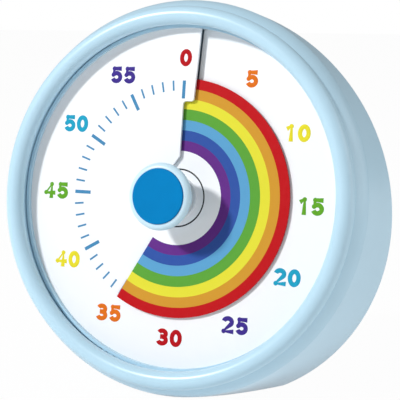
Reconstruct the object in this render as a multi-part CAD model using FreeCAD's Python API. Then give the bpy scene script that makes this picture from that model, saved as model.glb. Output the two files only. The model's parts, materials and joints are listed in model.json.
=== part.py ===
import FreeCAD, Part
import math
import os

# A round desk timer that shows the time left as a coloured disc.  The disc is fed
# through a radial slit in the dial: turning the knob clockwise draws it out, and it
# slips back behind the dial as the minutes run down.
# Every piece is first built in the dial's own frame: x to the right, y up towards the
# zero mark, z out of the dial towards the reader, origin at the dial's centre.
# The whole timer is then leaned back and stood on its flat base at z = 0.
# Sizes are in millimetres, angles in degrees.

# Stance
FACE_LEAN = 9.0                # the dial leans back from the vertical by this
DIAL_CENTRE_HEIGHT = 42.65     # dial centre above the table
SPACE = 200.0                  # length of a cutting block that clears the whole timer

# Front bezel
STRIP_HEIGHT = 1.6             # flat strip that covers the dial's rim
STRIP_RADIUS = 37.9            # the bead rises from the strip here
BEAD_RADIUS = 39.3             # centre circle of the bead's round section
BEAD_HEIGHT = 3.5
BEAD_ROUND = 2.0               # radius of that section
CREASE_HEIGHT = 3.2            # the skirt starts in a crease outside the bead
SKIRT_BULGE = 0.25             # how far the skirt stands out from a straight cone
PARTING_RADIUS = 43.1          # the skirt ends where the rear housing starts
PARTING_DEPTH = 0.2
SPIGOT_GAP = 0.5               # the housing's mouth narrows by less than this at the top

# Rear housing
WEDGE_ANGLE = 10.5             # the back is this much out of parallel with the dial
BACK_RADIUS = 44.6
BACK_DEPTH = 13.3              # back face behind the dial, on the back's centre
BACK_DROP = 1.0                # back's centre lies this far below the dial's
HOUSING_WALL = 1.8
FLOOR_WALL = 1.6
BACK_EDGE_ROUND = 1.2
SHELL_CLEARANCE = 0.1

# Dial and its slit
HELIX_PITCH = 1.6              # rise of dial and disc in one turn
DIAL_THICKNESS = 0.6
DIAL_RADIUS = 37.0             # printed face, inside the rim
DIAL_HOLE_RADIUS = 7.2
DIAL_RIM_WALL = 1.6
DIAL_RIM_TOP = 1.15
DIAL_RIM_BOTTOM = 2.6
SLIT_OVERRUN = 14.0            # sheet made past the slit before it is trimmed
TAB_START = 21.0               # the zero tab steps out at this height
TAB_WIDTH = 2.5
TAB_END_WIDTH = 3.3
TAB_CORNER = 0.7
SLIT_CHAMFER = 1.9

# Coloured disc
DISC_RADIUS = 26.0
DISC_THICKNESS = 0.4
DISC_REST_ANGLE = 210.0        # thirty-five minutes
DISC_END_GAP = 0.5
HUB_RADIUS = 4.6
HUB_TOP = 1.25
HUB_BOTTOM = 1.1

# Shaft and knob
SHAFT_RADIUS = 3.0
SHAFT_FLAT = 2.2               # distance of the flat from the axis
SHAFT_TOP = 8.2
SHAFT_JOURNAL_RADIUS = 1.5
SLIDING_CLEARANCE = 0.06
KNOB_NECK_RADIUS = 4.3         # foot of the knob's cone
KNOB_NECK_BOTTOM = 2.2
KNOB_RIM_RADIUS = 8.4
KNOB_TOP = 10.3
KNOB_CAP_RADIUS = 5.95
KNOB_CAP_THICKNESS = 1.3
KNOB_CAP_RISE = 0.35
KNOB_CAP_EDGE = 0.18
KNOB_RIM_ROUND = 1.5

# Movement case
MOVE_LEFT = 21.5
MOVE_RIGHT = 17.0
MOVE_TOP = 13.5
MOVE_BOTTOM = 21.2
MOVE_FRONT = 2.6               # depth of its front face behind the dial
MOVE_REAR = 8.5
MOVE_WALL = 0.8
MOVE_CORNER = 3.0
MOVE_PARTING = 4.9
BUSH_WALL = 1.5
BUSH_TOP = 2.35
BUSH_FLANGE = 1.2
PILLAR_PLACES = ((-18.2, 10.2), (13.8, 10.2), (13.7, -18.3))
PILLAR_MARGIN = 0.3            # wall of a pillar round its screw head

# Gear train
MODULE = 0.5
CENTRE_TEETH = 48
PINION_TEETH = 12
THIRD_TEETH = 36
PRESSURE_ANGLE = 20.0
TOOTH_TIP = 0.45               # tips stand this far outside the pitch circle
TOOTH_ROOT = 0.6               # roots lie this far inside it
ROOT_FLARE = 0.01              # radians by which a tooth widens at its root
GEAR_BACKLASH = 0.12
GEAR_THICKNESS = 0.8
PINION_THICKNESS = 1.2
TRAIN_ANGLE = 225.0            # third arbor as seen from the centre, from the x axis
FOURTH_ANGLE = -20.0           # fourth arbor as seen from the third
CENTRE_WHEEL_DEPTH = 3.8
WINDOW_COUNT = 4
WINDOW_RADIUS = 2.2
WINDOW_CIRCLE = 7.9
THIRD_WHEEL_DEPTH = 5.2
ARBOR_RADIUS = 0.5
ROTOR_RADIUS = 3.0
ROTOR_DEPTH = 6.3
ROTOR_THICKNESS = 1.0
PIVOT_CLEARANCE = 0.05
CLUTCH_RADIUS = 5.2
CLUTCH_THICKNESS = 0.3

# Motor
COIL_RADIUS = 1.2
COIL_CORE_RADIUS = 0.6
COIL_LENGTH = 11.0
COIL_CHEEK = 0.5
COIL_WINDING_DROP = 0.2        # winding lies this far inside the cheeks
COIL_OFFSET = 12.6
COIL_DEPTH = 6.4
STATOR_DEPTH = 6.4
STATOR_THICKNESS = 0.6
STATOR_AIR_GAP = 0.4
STATOR_ARM = 2.2

# Battery bay, in the back's frame
CELL_RADIUS = 5.25
CELL_LENGTH = 44.5
CELL_NIPPLE_RADIUS = 1.9
CELL_NIPPLE = 0.8
CELL_HEIGHT = -26.5            # bay's centre line on the back
CELL_CLEARANCE = 0.35
CONTACT_SPACE = 1.4
CONTACT_THICKNESS = 0.4
BAY_WALL = 1.2
DOOR_THICKNESS = 1.4
DOOR_LEDGE = 1.2
DOOR_GAP = 0.2
DOOR_LATCH_WIDTH = 8.0
DOOR_TONGUE = 2.0
DOOR_GRIP_COUNT = 3
DOOR_GRIP_SPACING = 1.6
DOOR_GRIP_HEIGHT = 0.4

# Circuit board, in the back's frame
BOARD_LEFT = 25.0
BOARD_BOTTOM = 17.2
BOARD_TOP = 28.5
BOARD_DEPTH = 4.6
BOARD_THICKNESS = 0.8
BOARD_CORNER = 2.0
BUZZER_RADIUS = 5.6
BUZZER_THICKNESS = 1.6
BUZZER_X = 6.0
SOUND_HOLE_RADIUS = 0.7
SOUND_HOLE_RING = 2.6
SOUND_HOLE_COUNT = 6
SWITCH_X = -14.5
SWITCH_BODY_LENGTH = 9.0
SWITCH_BODY_WIDTH = 4.0
SWITCH_BODY_HEIGHT = 2.3
SLIDER_LENGTH = 2.6
SLIDER_WIDTH = 2.4
SLIDER_TRAVEL = 2.0
SLIDER_PROUD = 0.5
SLIDER_GAP = 0.25

# Screws
SCREW_RADIUS = 1.0
SCREW_HEAD_RADIUS = 1.9
SCREW_HEAD_THICKNESS = 1.1
SCREW_LENGTH = 5.2
SCREW_GAP = 0.03
SCREW_HEAD_BEVEL = 0.35
BOARD_SCREW_LENGTH = 4.0
MOVE_SCREW_LENGTH = 7.2
SCREW_SINK = 0.1               # heads lie this far below the face over them
LUG_RADIUS = 2.4
LUG_INSET = 0.3                # lugs stay this far inside the spigot
LUG_ANGLES = (28.0, 152.0, 205.0, 335.0)
LUG_LENGTH = 3.1
POST_GAP = 0.05
BOARD_SCREW_X = (-22.4, 21.4)

V = FreeCAD.Vector
AXIS = V(0, 0, 1)

DIAL_TO_WORLD = FreeCAD.Placement(
    V(0, 0, DIAL_CENTRE_HEIGHT), FreeCAD.Rotation(V(1, 0, 0), 90 - FACE_LEAN))
WEDGE_SIN = math.sin(math.radians(WEDGE_ANGLE))
WEDGE_COS = math.cos(math.radians(WEDGE_ANGLE))
BACK_TO_DIAL = FreeCAD.Placement(
    V(0, -BACK_DROP, -BACK_DEPTH),
    FreeCAD.Rotation(V(-1, 0, 0), V(0, WEDGE_COS, WEDGE_SIN), V(0, WEDGE_SIN, -WEDGE_COS), "XYZ"))
BEZEL_BORE = DIAL_RADIUS + DIAL_RIM_WALL + SHELL_CLEARANCE
SPIGOT_RADIUS = PARTING_RADIUS - HOUSING_WALL - SPIGOT_GAP
LUG_CIRCLE = SPIGOT_RADIUS - LUG_RADIUS - LUG_INSET
THIRD_DISTANCE = MODULE * (CENTRE_TEETH + PINION_TEETH) / 2
FOURTH_DISTANCE = MODULE * (THIRD_TEETH + PINION_TEETH) / 2


def polar(radius, angle):
    """Point in the dial plane, its angle counted from the x axis."""
    turn = math.radians(angle)
    return V(radius * math.cos(turn), radius * math.sin(turn), 0)


THIRD_CENTRE = polar(THIRD_DISTANCE, TRAIN_ANGLE)
FOURTH_CENTRE = THIRD_CENTRE + polar(FOURTH_DISTANCE, FOURTH_ANGLE)


def moved(shape, placement):
    """A copy of the shape carried by a placement."""
    return shape.transformed(placement.toMatrix(), True)


def cylinder(radius, low, high, centre=V(0, 0, 0)):
    """Upright cylinder between two heights."""
    return Part.makeCylinder(radius, high - low, V(centre.x, centre.y, low), AXIS)


def block(x_range, y_range, z_range):
    """Box given by its limits along each axis."""
    corner = V(x_range[0], y_range[0], z_range[0])
    return Part.makeBox(
        x_range[1] - x_range[0], y_range[1] - y_range[0], z_range[1] - z_range[0], corner)


def rounded_block(x_range, y_range, z_range, corner):
    """Box whose four upright edges are rounded."""
    body = block(x_range, y_range, z_range)
    upright = [edge for edge in body.Edges if abs(edge.tangentAt(edge.FirstParameter).z) > 0.9]
    return body.makeFillet(corner, upright)


def revolved(edges):
    """Full turn of a closed profile drawn in the x-z plane."""
    return Part.Face(Part.Wire(edges)).revolve(V(0, 0, 0), AXIS, 360)


def polyline(points):
    """Straight edges through the points, in order."""
    return [Part.makeLine(start, end) for start, end in zip(points, points[1:])]


def arc(start, middle, end):
    """Arc edge through three points."""
    return Part.Arc(start, middle, end).toShape()


def on_profile(radius, height):
    """Point of a revolved profile."""
    return V(radius, 0, height)


def around(centre, radius, turn):
    """Point of a round stretch of a profile; the turn is in radians from the outward side."""
    return centre + V(radius * math.cos(turn), 0, radius * math.sin(turn))


def ground(height=0):
    """Everything below a height over the table, in the dial's frame."""
    below = block((-SPACE, SPACE), (-SPACE, SPACE), (-SPACE, height))
    return moved(below, DIAL_TO_WORLD.inverse())


def spiral_sheet(inner, outer, start, end, thickness, middle_at_zero):
    """Sheet that rises steadily clockwise; angles are clockwise from the zero mark."""
    height = HELIX_PITCH * (end - start) / 360
    inner_edge = Part.makeHelix(HELIX_PITCH, height, inner, 0, True)
    outer_edge = Part.makeHelix(HELIX_PITCH, height, outer, 0, True)
    face = Part.makeRuledSurface(inner_edge.Edges[0], outer_edge.Edges[0])
    sheet = face.extrude(V(0, 0, thickness))
    sheet.rotate(V(0, 0, 0), AXIS, 90 - start)
    sheet.translate(V(0, 0, middle_at_zero + HELIX_PITCH * start / 360 - thickness / 2))
    if sheet.Volume < 0:
        sheet.reverse()
    return sheet


def slit_outline(far_x):
    """Region on one side of the slit, from the slit's edge out to far_x."""
    outer = DIAL_RADIUS + DIAL_RIM_WALL
    lower = DIAL_HOLE_RADIUS - SLIT_CHAMFER
    bend = TAB_CORNER * (1 - math.cos(math.radians(45)))
    edge = polyline([
        V(far_x, lower, 0),
        V(-SLIT_CHAMFER, lower, 0),
        V(-SLIT_CHAMFER, DIAL_HOLE_RADIUS - TAB_CORNER, 0),
        V(0, DIAL_HOLE_RADIUS + SLIT_CHAMFER, 0),
        V(0, TAB_START - TAB_CORNER, 0)])
    edge.append(arc(
        V(0, TAB_START - TAB_CORNER, 0),
        V(bend, TAB_START - bend, 0),
        V(TAB_CORNER, TAB_START, 0)))
    edge += polyline([V(TAB_CORNER, TAB_START, 0), V(TAB_WIDTH - TAB_CORNER, TAB_START, 0)])
    edge.append(arc(
        V(TAB_WIDTH - TAB_CORNER, TAB_START, 0),
        V(TAB_WIDTH - bend, TAB_START + bend, 0),
        V(TAB_WIDTH, TAB_START + TAB_CORNER, 0)))
    edge += polyline([
        V(TAB_WIDTH, TAB_START + TAB_CORNER, 0),
        V(TAB_END_WIDTH, outer, 0),
        V(far_x, outer, 0),
        V(far_x, lower, 0)])
    return Part.Face(Part.Wire(edge))


def dial_plate():
    """White dial moulded as one turn of a shallow spiral, inside a flat-topped rim."""
    sheet = spiral_sheet(
        DIAL_HOLE_RADIUS, DIAL_RADIUS + DIAL_RIM_WALL / 2,
        -SLIT_OVERRUN, 360 + SLIT_OVERRUN, DIAL_THICKNESS, -HELIX_PITCH / 2)
    reach = DIAL_RADIUS
    upper_end = slit_outline(reach).extrude(V(0, 0, reach))
    lower_end = slit_outline(-reach).extrude(V(0, 0, -reach))
    sheet = sheet.cut(upper_end).cut(lower_end)
    rim = cylinder(DIAL_RADIUS + DIAL_RIM_WALL, -DIAL_RIM_BOTTOM, DIAL_RIM_TOP)
    rim = rim.cut(cylinder(DIAL_RADIUS, -SPACE, SPACE))
    return sheet.fuse(rim).removeSplitter()


def time_disc():
    """Coloured disc: one turn of the same spiral, half a pitch off the dial."""
    start = DISC_REST_ANGLE - 360 + DISC_END_GAP
    return spiral_sheet(HUB_RADIUS, DISC_RADIUS, start, DISC_REST_ANGLE, DISC_THICKNESS, 0)


def flatted_bar(radius, flat, low, high):
    """Round bar with one flat, so that what slides on it turns with it."""
    bar = cylinder(radius, low, high)
    return bar.cut(block((-SPACE, SPACE), (flat, SPACE), (low, high)))


def disc_hub():
    """Collar that carries the disc and slides along the shaft's flat."""
    collar = cylinder(HUB_RADIUS, -HUB_BOTTOM, HUB_TOP)
    bore = flatted_bar(
        SHAFT_RADIUS + SLIDING_CLEARANCE, SHAFT_FLAT + SLIDING_CLEARANCE, -HUB_BOTTOM, HUB_TOP)
    return collar.cut(bore)


def main_shaft():
    """Shaft from the movement through the dial to the knob."""
    flat_start = -BUSH_TOP + POST_GAP
    wheel_back = -(CENTRE_WHEEL_DEPTH + GEAR_THICKNESS + CLUTCH_THICKNESS)
    shaft = cylinder(SHAFT_RADIUS, wheel_back, flat_start)
    shaft = shaft.fuse(flatted_bar(SHAFT_RADIUS, SHAFT_FLAT, flat_start, SHAFT_TOP))
    shaft = shaft.fuse(cylinder(SHAFT_JOURNAL_RADIUS, -MOVE_REAR + MOVE_WALL / 2, wheel_back))
    return shaft.removeSplitter()


def knob_body():
    """Mushroom knob: a cone that meets a round rim about the cap's recess."""
    foot = on_profile(KNOB_NECK_RADIUS, KNOB_NECK_BOTTOM)
    rim_centre = on_profile(KNOB_RIM_RADIUS - KNOB_RIM_ROUND, KNOB_TOP - KNOB_RIM_ROUND)
    rim_top = on_profile(KNOB_RIM_RADIUS - KNOB_RIM_ROUND, KNOB_TOP)
    distance = foot.distanceToPoint(rim_centre)
    slope = math.atan2(rim_centre.z - foot.z, rim_centre.x - foot.x)
    slope -= math.asin(KNOB_RIM_ROUND / distance)
    start_turn = slope - math.pi / 2
    middle_turn = (start_turn + math.pi / 2) / 2
    recess = KNOB_TOP - KNOB_CAP_THICKNESS
    edges = polyline([
        on_profile(0, KNOB_NECK_BOTTOM), foot, around(rim_centre, KNOB_RIM_ROUND, start_turn)])
    edges.append(arc(
        around(rim_centre, KNOB_RIM_ROUND, start_turn),
        around(rim_centre, KNOB_RIM_ROUND, middle_turn),
        rim_top))
    edges += polyline([
        rim_top,
        on_profile(KNOB_CAP_RADIUS, KNOB_TOP),
        on_profile(KNOB_CAP_RADIUS, recess),
        on_profile(0, recess),
        on_profile(0, KNOB_NECK_BOTTOM)])
    socket = flatted_bar(SHAFT_RADIUS, SHAFT_FLAT, KNOB_NECK_BOTTOM, SHAFT_TOP)
    return revolved(edges).cut(socket)


def knob_cap():
    """Flat blue insert with a softened edge, standing a little above the rim."""
    cap = cylinder(KNOB_CAP_RADIUS, KNOB_TOP - KNOB_CAP_THICKNESS, KNOB_TOP + KNOB_CAP_RISE)
    top = [edge for edge in cap.Edges if edge.BoundBox.ZMin > KNOB_TOP]
    return cap.makeChamfer(KNOB_CAP_EDGE, top)


def lug_centres():
    """Places of the four case screws."""
    return [polar(LUG_CIRCLE, angle) for angle in LUG_ANGLES]


def front_bezel():
    """Ring over the dial's rim: flat strip, round bead, skirt, locating spigot and lugs."""
    bead = on_profile(BEAD_RADIUS, BEAD_HEIGHT)
    inner_turn = math.pi + math.acos((BEAD_RADIUS - STRIP_RADIUS) / BEAD_ROUND)
    crease_turn = math.asin((CREASE_HEIGHT - BEAD_HEIGHT) / BEAD_ROUND)
    bead_start = around(bead, BEAD_ROUND, inner_turn)
    crease = around(bead, BEAD_ROUND, crease_turn)
    skirt_end = on_profile(PARTING_RADIUS, -PARTING_DEPTH)
    skirt_middle = (crease + skirt_end) * 0.5
    skirt_out = V(crease.z - skirt_end.z, 0, skirt_end.x - crease.x)
    skirt_middle += skirt_out * (SKIRT_BULGE / skirt_out.Length)
    edges = polyline([
        on_profile(DIAL_RADIUS, DIAL_RIM_TOP),
        on_profile(DIAL_RADIUS, STRIP_HEIGHT),
        on_profile(STRIP_RADIUS, STRIP_HEIGHT),
        bead_start])
    edges.append(arc(bead_start, around(bead, BEAD_ROUND, math.pi / 2), crease))
    edges.append(arc(crease, skirt_middle, skirt_end))
    edges += polyline([
        skirt_end,
        on_profile(SPIGOT_RADIUS, -PARTING_DEPTH),
        on_profile(SPIGOT_RADIUS, -DIAL_RIM_BOTTOM),
        on_profile(BEZEL_BORE, -DIAL_RIM_BOTTOM),
        on_profile(BEZEL_BORE, DIAL_RIM_TOP),
        on_profile(DIAL_RADIUS, DIAL_RIM_TOP)])
    ring = revolved(edges)
    lug_low = -DIAL_RIM_BOTTOM - LUG_LENGTH
    for centre in lug_centres():
        ring = ring.fuse(cylinder(LUG_RADIUS, lug_low, -DIAL_RIM_BOTTOM, centre))
    for centre in lug_centres():
        ring = ring.cut(cylinder(SCREW_RADIUS + SCREW_GAP, lug_low, -DIAL_RIM_BOTTOM, centre))
    return ring.removeSplitter()


def housing_loft(inset):
    """Tapered drum from the parting line to the leaning back, inset all round by a wall."""
    front = Part.Wire(Part.makeCircle(PARTING_RADIUS - inset, V(0, 0, -PARTING_DEPTH), AXIS))
    rear = Part.Wire(Part.makeCircle(BACK_RADIUS - inset, V(0, 0, -inset), AXIS))
    rear = moved(rear, BACK_TO_DIAL)
    return Part.makeLoft([front, rear], True, True)


def bay_limits():
    """Inside of the battery bay across the back: x range and y range."""
    half_length = CELL_LENGTH / 2 + CONTACT_SPACE
    half_width = CELL_RADIUS + CELL_CLEARANCE
    return (-half_length, half_length), (CELL_HEIGHT - half_width, CELL_HEIGHT + half_width)


def grown(limits, margin):
    """A range made larger at both ends."""
    return (limits[0] - margin, limits[1] + margin)


def bay_depth():
    """Floor of the battery bay, below the outer face of the back."""
    return DOOR_THICKNESS + DOOR_GAP + 2 * CELL_RADIUS + CELL_CLEARANCE


def case_posts():
    """Hollow posts behind the four lugs, before they are drilled."""
    top = -DIAL_RIM_BOTTOM - LUG_LENGTH - POST_GAP
    posts = [cylinder(LUG_RADIUS, -SPACE, top, centre) for centre in lug_centres()]
    return Part.makeCompound(posts)


def pillar_centres():
    """Places of the three screws that hold the movement."""
    return [V(x, y, 0) for x, y in PILLAR_PLACES]


def movement_posts():
    """Posts on the back wall under the movement's pillars."""
    posts = [cylinder(LUG_RADIUS, -SPACE, -MOVE_REAR, centre) for centre in pillar_centres()]
    return Part.makeCompound(posts)


def movement_screw_tip():
    """Height of the movement screws' tips."""
    return -MOVE_FRONT - SCREW_SINK - MOVE_SCREW_LENGTH


def screw_seat():
    """Depth of the case screws' head seats behind the dial."""
    return DIAL_RIM_BOTTOM + SCREW_LENGTH - SCREW_HEAD_THICKNESS + POST_GAP


def back_housing():
    """Wedge-shaped rear shell with battery bay, screw posts, sound holes and switch slot."""
    outer = housing_loft(0)
    outer = outer.makeFillet(BACK_EDGE_ROUND, [rim_edge(outer)])
    outer = outer.cut(ground())
    hollow = housing_loft(HOUSING_WALL).cut(ground(FLOOR_WALL))
    x_range, y_range = bay_limits()
    depth = bay_depth()
    bay_block = block(grown(x_range, BAY_WALL), grown(y_range, BAY_WALL), (-depth - BAY_WALL, 0))
    bay_block = moved(bay_block, BACK_TO_DIAL)
    hollow = hollow.cut(bay_block).cut(case_posts()).cut(board_posts()).cut(movement_posts())
    shell = outer.cut(hollow)
    cuts = [moved(block(x_range, y_range, (-depth, SPACE)), BACK_TO_DIAL)]
    recess = block(grown(x_range, DOOR_LEDGE), grown(y_range, DOOR_LEDGE), (-DOOR_THICKNESS, SPACE))
    cuts.append(moved(recess, BACK_TO_DIAL))
    cuts.append(moved(switch_slot(), BACK_TO_DIAL))
    cuts.append(moved(sound_holes(), BACK_TO_DIAL))
    cuts.append(moved(board_screw_holes(), BACK_TO_DIAL))
    for centre in lug_centres():
        cuts.append(cylinder(SCREW_RADIUS + SCREW_GAP, -SPACE, 0, centre))
        cuts.append(cylinder(SCREW_HEAD_RADIUS + SHELL_CLEARANCE, -SPACE, -screw_seat(), centre))
    for centre in pillar_centres():
        tip = movement_screw_tip() - POST_GAP
        cuts.append(cylinder(SCREW_RADIUS + SCREW_GAP, tip, 0, centre))
    for cut in cuts:
        shell = shell.cut(cut)
    return shell.removeSplitter()


def rim_edge(loft):
    """The loft's round edge on the back face."""
    return min(loft.Edges, key=lambda edge: edge.BoundBox.ZMin)


def board_post_centres():
    """Places of the two circuit board screws, in the back's frame."""
    middle = (BOARD_BOTTOM + BOARD_TOP) / 2
    return [V(x, middle, 0) for x in BOARD_SCREW_X]


def board_posts():
    """Posts that carry the circuit board off the back wall."""
    posts = [cylinder(LUG_RADIUS, -BOARD_DEPTH, 0, centre) for centre in board_post_centres()]
    return moved(Part.makeCompound(posts), BACK_TO_DIAL)


def board_screw_holes():
    """Blind holes in the board posts."""
    radius = SCREW_RADIUS + SCREW_GAP
    holes = [cylinder(radius, -BOARD_DEPTH, -HOUSING_WALL, at) for at in board_post_centres()]
    return Part.makeCompound(holes)


def switch_slot():
    """Slot in the back wall for the volume slider."""
    middle = (BOARD_BOTTOM + BOARD_TOP) / 2
    half_length = SLIDER_LENGTH / 2 + SLIDER_TRAVEL + SLIDER_GAP
    half_width = SLIDER_WIDTH / 2 + SLIDER_GAP
    return block(
        (SWITCH_X - half_length, SWITCH_X + half_length),
        (middle - half_width, middle + half_width),
        (-BOARD_DEPTH, SPACE))


def sound_holes():
    """Ring of small holes over the buzzer, with one in the middle."""
    middle = V(BUZZER_X, (BOARD_BOTTOM + BOARD_TOP) / 2, 0)
    places = [middle]
    for index in range(SOUND_HOLE_COUNT):
        places.append(middle + polar(SOUND_HOLE_RING, index * 360 / SOUND_HOLE_COUNT))
    return Part.makeCompound(
        [cylinder(SOUND_HOLE_RADIUS, -HOUSING_WALL, SPACE, place) for place in places])


def battery_door():
    """Lift-off door, flush with the back, with a thumb grip and a latch tongue."""
    x_range, y_range = bay_limits()
    x_door = grown(x_range, DOOR_LEDGE - DOOR_GAP)
    y_door = grown(y_range, DOOR_LEDGE - DOOR_GAP)
    door = rounded_block(x_door, y_door, (-DOOR_THICKNESS, 0), BAY_WALL / 2)
    tongue = block(
        (-DOOR_LATCH_WIDTH / 2, DOOR_LATCH_WIDTH / 2),
        (y_range[1] - BAY_WALL, y_range[1] - DOOR_GAP),
        (-DOOR_THICKNESS - DOOR_TONGUE, -DOOR_THICKNESS))
    door = door.fuse(tongue)
    for index in range(DOOR_GRIP_COUNT):
        y = y_range[1] - DOOR_GRIP_SPACING * (index + 1)
        groove = block(
            (-DOOR_LATCH_WIDTH / 2, DOOR_LATCH_WIDTH / 2),
            (y - DOOR_GRIP_HEIGHT, y),
            (-DOOR_GRIP_HEIGHT, 0))
        door = door.cut(groove)
    return moved(door, BACK_TO_DIAL)


def cell_axis_depth():
    """Depth of the cell's axis below the back face."""
    return DOOR_THICKNESS + DOOR_GAP + CELL_RADIUS


def battery_cell():
    """Small round cell lying across the bay, its positive end to the left seen from behind."""
    centre = V(-CELL_LENGTH / 2, CELL_HEIGHT, -cell_axis_depth())
    can = Part.makeCylinder(CELL_RADIUS, CELL_LENGTH - CELL_NIPPLE, centre, V(1, 0, 0))
    can = can.makeChamfer(CELL_CLEARANCE, [edge for edge in can.Edges if len(edge.Vertexes) == 1])
    nipple_start = centre + V(CELL_LENGTH - CELL_NIPPLE, 0, 0)
    nipple = Part.makeCylinder(CELL_NIPPLE_RADIUS, CELL_NIPPLE, nipple_start, V(1, 0, 0))
    return moved(can.fuse(nipple), BACK_TO_DIAL)


def contact_plate(side):
    """Sprung contact at one end of the bay: plate on the wall and a pressed dimple."""
    x_wall = side * (CELL_LENGTH / 2 + CONTACT_SPACE)
    x_plate = x_wall - side * CONTACT_THICKNESS
    x_cell = side * CELL_LENGTH / 2
    half = CELL_RADIUS - CONTACT_THICKNESS
    plate = block(
        (min(x_wall, x_plate), max(x_wall, x_plate)),
        (CELL_HEIGHT - half, CELL_HEIGHT + half),
        (-cell_axis_depth() - half, -cell_axis_depth() + half))
    start = V(x_plate, CELL_HEIGHT, -cell_axis_depth())
    reach = abs(x_plate - x_cell)
    dimple = Part.makeCone(half / 2, CELL_NIPPLE_RADIUS / 2, reach, start, V(-side, 0, 0))
    return moved(plate.fuse(dimple), BACK_TO_DIAL)


def circuit_board():
    """Board across the top of the housing, screwed to its two posts."""
    board = rounded_block(
        (-BOARD_LEFT, BOARD_LEFT), (BOARD_BOTTOM, BOARD_TOP),
        (-BOARD_DEPTH - BOARD_THICKNESS, -BOARD_DEPTH), BOARD_CORNER)
    for centre in board_post_centres():
        board = board.cut(cylinder(SCREW_RADIUS + SCREW_GAP, -SPACE, 0, centre))
    return moved(board, BACK_TO_DIAL)


def buzzer():
    """Round sounder on the board, facing the sound holes."""
    centre = V(BUZZER_X, (BOARD_BOTTOM + BOARD_TOP) / 2, 0)
    can = cylinder(BUZZER_RADIUS - BOARD_THICKNESS, -BOARD_DEPTH, -BOARD_DEPTH + BUZZER_THICKNESS, centre)
    can = can.cut(cylinder(
        SOUND_HOLE_RADIUS, -BOARD_DEPTH + BUZZER_THICKNESS / 2, -BOARD_DEPTH + BUZZER_THICKNESS, centre))
    return moved(can, BACK_TO_DIAL)


def switch_body():
    """Fixed frame of the volume switch, on the board, with a channel for its slider."""
    middle = (BOARD_BOTTOM + BOARD_TOP) / 2
    top = -BOARD_DEPTH + SWITCH_BODY_HEIGHT
    half_length = SLIDER_LENGTH / 2 + SLIDER_TRAVEL + SLIDER_GAP
    half_width = SLIDER_WIDTH / 2 + SLIDER_GAP
    body = block(
        (SWITCH_X - SWITCH_BODY_LENGTH / 2, SWITCH_X + SWITCH_BODY_LENGTH / 2),
        (middle - SWITCH_BODY_WIDTH / 2, middle + SWITCH_BODY_WIDTH / 2),
        (-BOARD_DEPTH, top))
    channel = block(
        (SWITCH_X - half_length, SWITCH_X + half_length),
        (middle - half_width, middle + half_width),
        (top - SWITCH_BODY_HEIGHT / 2, top))
    return moved(body.cut(channel), BACK_TO_DIAL)


def volume_slider():
    """Thumb piece of the volume switch, standing just proud of the back."""
    middle = (BOARD_BOTTOM + BOARD_TOP) / 2
    low = -BOARD_DEPTH + SWITCH_BODY_HEIGHT / 2 + POST_GAP
    slider = block(
        (SWITCH_X - SLIDER_LENGTH / 2, SWITCH_X + SLIDER_LENGTH / 2),
        (middle - SLIDER_WIDTH / 2, middle + SLIDER_WIDTH / 2),
        (low, SLIDER_PROUD))
    return moved(slider, BACK_TO_DIAL)


def screw(length):
    """Pan-head screw along z: the face of its head at the origin, shank upwards."""
    head = Part.makeCylinder(SCREW_HEAD_RADIUS, SCREW_HEAD_THICKNESS)
    crown = [edge for edge in head.Edges if edge.BoundBox.ZMax < SCREW_HEAD_THICKNESS / 2]
    head = head.makeChamfer(SCREW_HEAD_BEVEL, crown)
    return head.fuse(Part.makeCylinder(SCREW_RADIUS, length)).removeSplitter()


def driven(length, centre, head_height, upwards):
    """Screw placed with the face of its head at a height, driven upwards or downwards."""
    body = screw(length)
    if not upwards:
        body.rotate(V(0, 0, 0), V(1, 0, 0), 180)
    body.translate(V(centre.x, centre.y, head_height))
    return body


def case_screws():
    """The four screws that draw the housing to the bezel."""
    height = -screw_seat() - SCREW_HEAD_THICKNESS
    return Part.makeCompound(
        [driven(SCREW_LENGTH, centre, height, True) for centre in lug_centres()])


def movement_screws():
    """The three screws that hold the movement to the housing's posts."""
    height = -MOVE_FRONT - SCREW_SINK
    return Part.makeCompound(
        [driven(MOVE_SCREW_LENGTH, centre, height, False) for centre in pillar_centres()])


def board_screws():
    """The two screws that hold the circuit board, driven from the dial side."""
    height = -BOARD_DEPTH - BOARD_THICKNESS - SCREW_HEAD_THICKNESS
    screws = [
        driven(BOARD_SCREW_LENGTH, centre, height, True) for centre in board_post_centres()]
    return moved(Part.makeCompound(screws), BACK_TO_DIAL)


def gear_outline(teeth, backlash):
    """Closed polygon of a spur wheel with involute-like flanks, one gap on the x axis."""
    pitch_radius = MODULE * teeth / 2
    base_radius = pitch_radius * math.cos(math.radians(PRESSURE_ANGLE))
    tip_radius = pitch_radius + TOOTH_TIP
    root_radius = pitch_radius - TOOTH_ROOT
    half_tooth = math.pi / (2 * teeth) - backlash / (2 * pitch_radius)
    levels = [max(root_radius + ROOT_FLARE, base_radius), pitch_radius, tip_radius]
    at_pitch = involute(pitch_radius, base_radius)
    flank = [(level, half_tooth + at_pitch - involute(level, base_radius)) for level in levels]
    points = []
    for tooth in range(teeth):
        centre = (tooth + 0.5) * 2 * math.pi / teeth
        rising = [(root_radius, centre - flank[0][1] - ROOT_FLARE)]
        rising += [(radius, centre - half) for radius, half in flank]
        falling = [(radius, centre + half) for radius, half in reversed(flank)]
        falling.append((root_radius, centre + flank[0][1] + ROOT_FLARE))
        points += rising + falling
    corners = [V(radius * math.cos(turn), radius * math.sin(turn), 0) for radius, turn in points]
    return Part.Face(Part.Wire(polyline(corners + corners[:1])))


def involute(radius, base_radius):
    """Angle gained by an involute between its base circle and a radius."""
    pressure = math.acos(min(1.0, base_radius / radius))
    return math.tan(pressure) - pressure


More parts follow.
